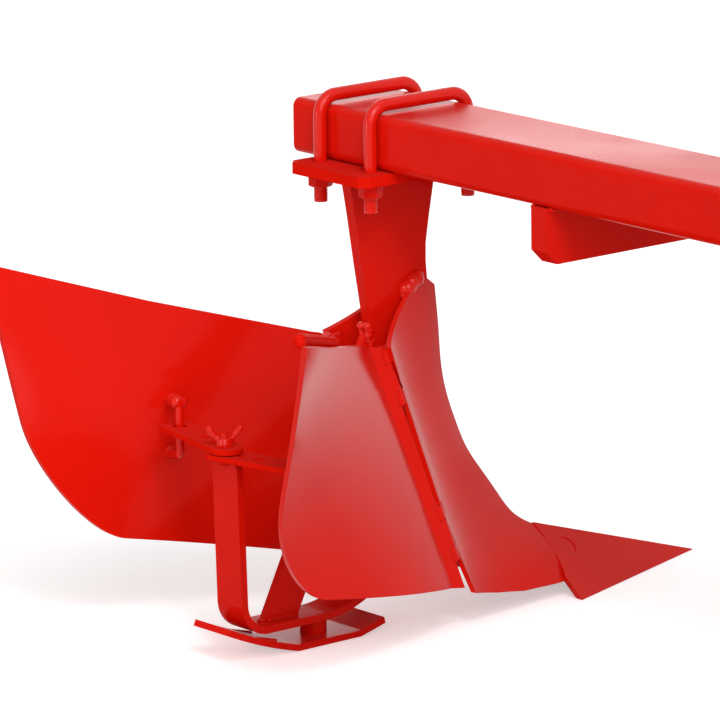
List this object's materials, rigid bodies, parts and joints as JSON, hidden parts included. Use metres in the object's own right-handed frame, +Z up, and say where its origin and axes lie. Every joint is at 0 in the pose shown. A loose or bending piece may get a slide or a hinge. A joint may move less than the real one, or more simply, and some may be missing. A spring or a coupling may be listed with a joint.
{
  "type": "ridging plough",
  "caption": "Mounted ridging plough: toolbar with three-point headstock and clamped ridging bodies, each with a pointed share, split breast and hinged adjustable wings",
  "frame": {"origin": "on the ground, under the middle of the whole machine", "axes": "+X is the way it is drawn forward, +Y its left side along the toolbar, +Z up"},
  "size_m": [0.651, 1.6252, 0.886],
  "materials": {
    "red_enamel": "glossy red enamel over welded steel, light dust"
  },
  "bodies": {
    "frame": {"toolbar": "red_enamel", "hitch_arm_left": "red_enamel", "hitch_arm_right": "red_enamel", "lower_pin_left": "red_enamel", "lower_pin_right": "red_enamel", "mast_plate_left": "red_enamel", "mast_plate_right": "red_enamel", "mast_spacer": "red_enamel", "row1_leg": "red_enamel", "row1_clamp_plate": "red_enamel", "row1_u_bolts": "red_enamel", "row1_clamp_nuts": "red_enamel", "row1_breast_left": "red_enamel", "row1_breast_right": "red_enamel", "row1_share": "red_enamel", "row1_share_bolts": "red_enamel", "row1_strut": "red_enamel", "row1_heel_strap": "red_enamel", "row1_heel_skid": "red_enamel", "row1_hinge_pins": "red_enamel", "row1_wing_nut": "red_enamel", "row2_leg": "red_enamel", "row2_clamp_plate": "red_enamel", "row2_u_bolts": "red_enamel", "row2_clamp_nuts": "red_enamel", "row2_breast_left": "red_enamel", "row2_breast_right": "red_enamel", "row2_share": "red_enamel", "row2_share_bolts": "red_enamel", "row2_strut": "red_enamel", "row2_heel_strap": "red_enamel", "row2_heel_skid": "red_enamel", "row2_hinge_pins": "red_enamel", "row2_wing_nut": "red_enamel"},
    "row1_left_wing": {"row1_wing_left": "red_enamel", "row1_wing_eye_left": "red_enamel"},
    "row1_left_swivel": {"row1_washer_left": "red_enamel"},
    "row1_left_bar": {"row1_adjuster_left": "red_enamel"},
    "row1_right_wing": {"row1_wing_right": "red_enamel", "row1_wing_eye_right": "red_enamel", "row1_wing_rail_right": "red_enamel"},
    "row1_right_swivel": {"row1_washer_right": "red_enamel"},
    "row1_right_bar": {"row1_adjuster_right": "red_enamel"},
    "row2_left_wing": {"row2_wing_left": "red_enamel", "row2_wing_eye_left": "red_enamel"},
    "row2_left_swivel": {"row2_washer_left": "red_enamel"},
    "row2_left_bar": {"row2_adjuster_left": "red_enamel"},
    "row2_right_wing": {"row2_wing_right": "red_enamel", "row2_wing_eye_right": "red_enamel", "row2_wing_rail_right": "red_enamel"},
    "row2_right_swivel": {"row2_washer_right": "red_enamel"},
    "row2_right_bar": {"row2_adjuster_right": "red_enamel"}
  },
  "joints": [
    {"name": "row1_left_wing_hinge", "type": "hinge", "parent": "frame", "child": "row1_left_wing", "pos_m": [-0.0225, 0.6565, 0.038], "axis": [0.2699, 0.1516, -0.9509], "range_deg": [-15, 0]},
    {"name": "row1_left_bar_swivel", "type": "hinge", "parent": "frame", "child": "row1_left_swivel", "pos_m": [-0.2345, 0.5835, 0.191], "axis": [0, 0, 1], "range_deg": [-6, 1]},
    {"name": "row1_left_bar_slide", "type": "slide", "parent": "row1_left_swivel", "child": "row1_left_bar", "axis": [0.1939, 0.981, 0], "range_m": [-0.0405, 0.0005]},
    {"name": "row1_right_wing_hinge", "type": "hinge", "parent": "frame", "child": "row1_right_wing", "pos_m": [-0.0225, 0.5105, 0.038], "axis": [-0.2699, 0.1516, 0.9509], "range_deg": [-15, 0]},
    {"name": "row1_right_bar_swivel", "type": "hinge", "parent": "frame", "child": "row1_right_swivel", "pos_m": [-0.2345, 0.5835, 0.185], "axis": [0, 0, -1], "range_deg": [-6, 1]},
    {"name": "row1_right_bar_slide", "type": "slide", "parent": "row1_right_swivel", "child": "row1_right_bar", "axis": [0.1939, -0.981, 0], "range_m": [-0.0405, 0.0005]},
    {"name": "row2_left_wing_hinge", "type": "hinge", "parent": "frame", "child": "row2_left_wing", "pos_m": [-0.0225, -0.5105, 0.038], "axis": [0.2699, 0.1516, -0.9509], "range_deg": [-15, 0]},
    {"name": "row2_left_bar_swivel", "type": "hinge", "parent": "frame", "child": "row2_left_swivel", "pos_m": [-0.2345, -0.5835, 0.191], "axis": [0, 0, 1], "range_deg": [-6, 1]},
    {"name": "row2_left_bar_slide", "type": "slide", "parent": "row2_left_swivel", "child": "row2_left_bar", "axis": [0.1939, 0.981, 0], "range_m": [-0.0405, 0.0005]},
    {"name": "row2_right_wing_hinge", "type": "hinge", "parent": "frame", "child": "row2_right_wing", "pos_m": [-0.0225, -0.6565, 0.038], "axis": [-0.2699, 0.1516, 0.9509], "range_deg": [-15, 0]},
    {"name": "row2_right_bar_swivel", "type": "hinge", "parent": "frame", "child": "row2_right_swivel", "pos_m": [-0.2345, -0.5835, 0.185], "axis": [0, 0, -1], "range_deg": [-6, 1]},
    {"name": "row2_right_bar_slide", "type": "slide", "parent": "row2_right_swivel", "child": "row2_right_bar", "axis": [0.1939, -0.981, 0], "range_m": [-0.0405, 0.0005]}
  ],
  "couplings": [
    {"joint": "row1_left_bar_swivel", "follows": "row1_left_wing_hinge", "ratio": 0.1622},
    {"joint": "row1_left_bar_slide", "follows": "row1_left_wing_hinge", "m_per_rad": 0.14809},
    {"joint": "row1_right_bar_swivel", "follows": "row1_right_wing_hinge", "ratio": 0.1886},
    {"joint": "row1_right_bar_slide", "follows": "row1_right_wing_hinge", "m_per_rad": 0.14973},
    {"joint": "row2_left_bar_swivel", "follows": "row2_left_wing_hinge", "ratio": 0.1622},
    {"joint": "row2_left_bar_slide", "follows": "row2_left_wing_hinge", "m_per_rad": 0.14809},
    {"joint": "row2_right_bar_swivel", "follows": "row2_right_wing_hinge", "ratio": 0.1886},
    {"joint": "row2_right_bar_slide", "follows": "row2_right_wing_hinge", "m_per_rad": 0.14973}
  ]
}
